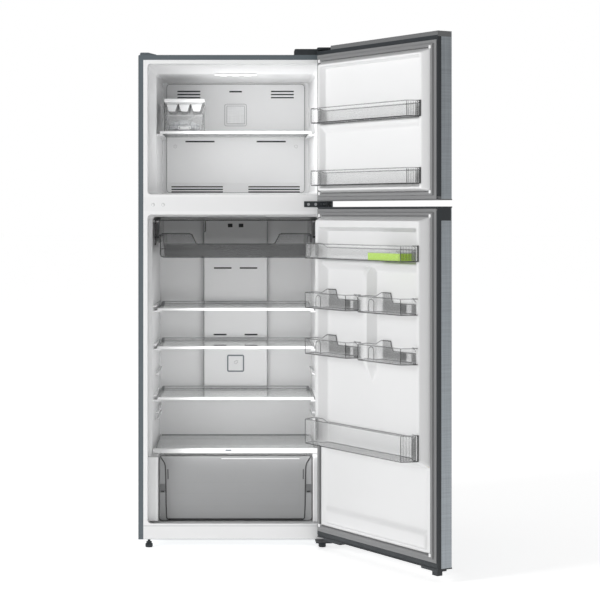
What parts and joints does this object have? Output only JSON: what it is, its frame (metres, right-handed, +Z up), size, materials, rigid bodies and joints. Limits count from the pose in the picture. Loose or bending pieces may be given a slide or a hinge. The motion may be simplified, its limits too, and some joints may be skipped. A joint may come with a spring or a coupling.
{
  "type": "top freezer refrigerator",
  "caption": "Free-standing refrigerator with a top freezer, two right-hinged steel doors, glass shelves, crisper and chiller drawers and clear door bins.",
  "frame": {"origin": "on the floor, below the centre of the cabinet (doors and hinges not counted)", "axes": "+X to the right seen from the front, +Y to the back, +Z up"},
  "size_m": [1.0548, 1.2427, 1.7947],
  "materials": {
    "cabinet_paint": "satin",
    "zinc_sheet": "satin",
    "foam": "matte",
    "liner_white": "satin",
    "trim_white": "satin",
    "coil_aluminium": "satin",
    "motor_black": "matte",
    "badge_trim": "satin",
    "lamp_diffuser": "gloss",
    "hinge_steel": "satin",
    "screw_steel": "satin",
    "dark_plastic": "satin",
    "compressor_black": "satin",
    "smoky_plastic": "gloss",
    "brushed_steel": "satin",
    "gasket_grey": "matte",
    "shelf_glass": "gloss",
    "ice_plastic": "satin",
    "clear_plastic": "gloss",
    "lime_plastic": "gloss",
    "lid_plastic": "gloss"
  },
  "bodies": {
    "cabinet": {"outer_shell": "cabinet_paint", "rear_panel": "zinc_sheet", "base_pan": "zinc_sheet", "cabinet_foam": "foam", "freezer_liner": "liner_white", "fridge_liner": "liner_white", "center_rail": "trim_white", "kick_plate": "trim_white", "evaporator_cover": "liner_white", "evaporator_coil": "coil_aluminium", "fan_motor": "motor_black", "air_duct_cover": "liner_white", "vent_badges": "badge_trim", "lamp_lenses": "lamp_diffuser", "top_hinge": "hinge_steel", "top_hinge_cover": "dark_plastic", "middle_hinge": "hinge_steel", "bottom_hinge": "hinge_steel", "hinge_screws": "screw_steel", "trim_caps": "trim_white", "compressor": "compressor_black", "drain_pan": "motor_black", "compressor_cover": "zinc_sheet", "power_inlet": "motor_black", "chiller_frame": "smoky_plastic"},
    "freezer_door": {"freezer_door_skin": "brushed_steel", "freezer_door_liner": "liner_white", "freezer_door_foam": "foam", "freezer_door_gasket": "gasket_grey", "freezer_door_caps": "dark_plastic"},
    "fridge_door": {"fridge_door_skin": "brushed_steel", "fridge_door_liner": "liner_white", "fridge_door_foam": "foam", "fridge_door_gasket": "gasket_grey", "fridge_door_caps": "dark_plastic"},
    "freezer_shelf": {"freezer_shelf": "shelf_glass", "ice_frame": "trim_white"},
    "ice_trays": {"ice_trays": "ice_plastic"},
    "ice_bin": {"ice_bin": "clear_plastic"},
    "fridge_shelf_1": {"fridge_shelf_1": "shelf_glass"},
    "fridge_shelf_2": {"fridge_shelf_2": "shelf_glass"},
    "fridge_shelf_3": {"fridge_shelf_3": "shelf_glass"},
    "crisper_cover": {"crisper_cover": "shelf_glass"},
    "humidity_slider": {"humidity_slider": "dark_plastic"},
    "crisper_drawer": {"crisper_drawer": "clear_plastic"},
    "chiller_drawer": {"chiller_drawer": "smoky_plastic"},
    "foot_left": {"foot_left": "dark_plastic"},
    "foot_right": {"foot_right": "dark_plastic"},
    "rear_rollers": {"rear_rollers": "motor_black"},
    "evaporator_fan": {"evaporator_fan": "motor_black"},
    "green_box": {"green_box": "lime_plastic"},
    "green_box_lid": {"green_box_lid": "lid_plastic"},
    "freezer_bin_upper": {"freezer_bin_upper": "clear_plastic"},
    "freezer_bin_lower": {"freezer_bin_lower": "clear_plastic"},
    "fridge_bin_top": {"fridge_bin_top": "clear_plastic"},
    "fridge_bin_bottom": {"fridge_bin_bottom": "clear_plastic"},
    "half_bin_upper_left": {"half_bin_upper_left": "clear_plastic"},
    "half_bin_upper_right": {"half_bin_upper_right": "clear_plastic"},
    "half_bin_lower_left": {"half_bin_lower_left": "clear_plastic"},
    "half_bin_lower_right": {"half_bin_lower_right": "clear_plastic"}
  },
  "joints": [
    {"name": "freezer_door_hinge", "type": "hinge", "parent": "cabinet", "child": "freezer_door", "pos_m": [0.328, -0.3459, 1.52], "axis": [0, 0, 1], "range_deg": [-121.3, 8.7]},
    {"name": "fridge_door_hinge", "type": "hinge", "parent": "cabinet", "child": "fridge_door", "pos_m": [0.328, -0.3459, 0.64], "axis": [0, 0, 1], "range_deg": [-121.3, 8.7]},
    {"name": "freezer_shelf_slide", "type": "slide", "parent": "cabinet", "child": "freezer_shelf", "axis": [0, -1, 0], "range_m": [0, 0.19]},
    {"name": "ice_trays_slide", "type": "slide", "parent": "freezer_shelf", "child": "ice_trays", "axis": [0, -1, 0], "range_m": [0, 0.2]},
    {"name": "ice_bin_slide", "type": "slide", "parent": "freezer_shelf", "child": "ice_bin", "axis": [0, -1, 0], "range_m": [0, 0.2]},
    {"name": "fridge_shelf_1_slide", "type": "slide", "parent": "cabinet", "child": "fridge_shelf_1", "axis": [0, -1, 0], "range_m": [0, 0.19]},
    {"name": "fridge_shelf_2_slide", "type": "slide", "parent": "cabinet", "child": "fridge_shelf_2", "axis": [0, -1, 0], "range_m": [0, 0.19]},
    {"name": "fridge_shelf_3_slide", "type": "slide", "parent": "cabinet", "child": "fridge_shelf_3", "axis": [0, -1, 0], "range_m": [0, 0.19]},
    {"name": "crisper_cover_slide", "type": "slide", "parent": "cabinet", "child": "crisper_cover", "axis": [0, -1, 0], "range_m": [0, 0.09]},
    {"name": "humidity_slide", "type": "slide", "parent": "crisper_cover", "child": "humidity_slider", "axis": [1, 0, 0], "range_m": [0, 0.052]},
    {"name": "crisper_drawer_slide", "type": "slide", "parent": "cabinet", "child": "crisper_drawer", "axis": [0, -1, 0], "range_m": [0, 0.25]},
    {"name": "chiller_drawer_slide", "type": "slide", "parent": "cabinet", "child": "chiller_drawer", "axis": [0, -1, 0], "range_m": [0, 0.18]},
    {"name": "foot_left_turn", "type": "hinge", "parent": "cabinet", "child": "foot_left", "pos_m": [-0.312, -0.291, 0.02], "axis": [0, 0, 1], "continuous": true},
    {"name": "foot_right_turn", "type": "hinge", "parent": "cabinet", "child": "foot_right", "pos_m": [0.312, -0.291, 0.02], "axis": [0, 0, 1], "continuous": true},
    {"name": "rear_rollers_turn", "type": "hinge", "parent": "cabinet", "child": "rear_rollers", "pos_m": [0, 0.255, 0.013], "axis": [1, 0, 0], "continuous": true},
    {"name": "evaporator_fan_turn", "type": "hinge", "parent": "cabinet", "child": "evaporator_fan", "pos_m": [0, 0.165, 1.58], "axis": [0, 1, 0], "continuous": true},
    {"name": "freezer_bin_upper_lift", "type": "slide", "parent": "freezer_door", "child": "freezer_bin_upper", "axis": [0, 0, 1], "range_m": [0, 0.025]},
    {"name": "freezer_bin_lower_lift", "type": "slide", "parent": "freezer_door", "child": "freezer_bin_lower", "axis": [0, 0, 1], "range_m": [0, 0.025]},
    {"name": "fridge_bin_top_lift", "type": "slide", "parent": "fridge_door", "child": "fridge_bin_top", "axis": [0, 0, 1], "range_m": [0, 0.025]},
    {"name": "fridge_bin_bottom_lift", "type": "slide", "parent": "fridge_door", "child": "fridge_bin_bottom", "axis": [0, 0, 1], "range_m": [0, 0.025]},
    {"name": "half_bin_upper_left_lift", "type": "slide", "parent": "fridge_door", "child": "half_bin_upper_left", "axis": [0, 0, 1], "range_m": [0, 0.025]},
    {"name": "half_bin_upper_right_lift", "type": "slide", "parent": "fridge_door", "child": "half_bin_upper_right", "axis": [0, 0, 1], "range_m": [0, 0.025]},
    {"name": "half_bin_lower_left_lift", "type": "slide", "parent": "fridge_door", "child": "half_bin_lower_left", "axis": [0, 0, 1], "range_m": [0, 0.025]},
    {"name": "half_bin_lower_right_lift", "type": "slide", "parent": "fridge_door", "child": "half_bin_lower_right", "axis": [0, 0, 1], "range_m": [0, 0.025]},
    {"name": "green_box_slide", "type": "slide", "parent": "fridge_bin_top", "child": "green_box", "axis": [-0.5195, 0.8545, 0], "range_m": [0, 0.32]},
    {"name": "green_box_lid_lift", "type": "slide", "parent": "green_box", "child": "green_box_lid", "axis": [0, 0, 1], "range_m": [0, 0.03]}
  ]
}
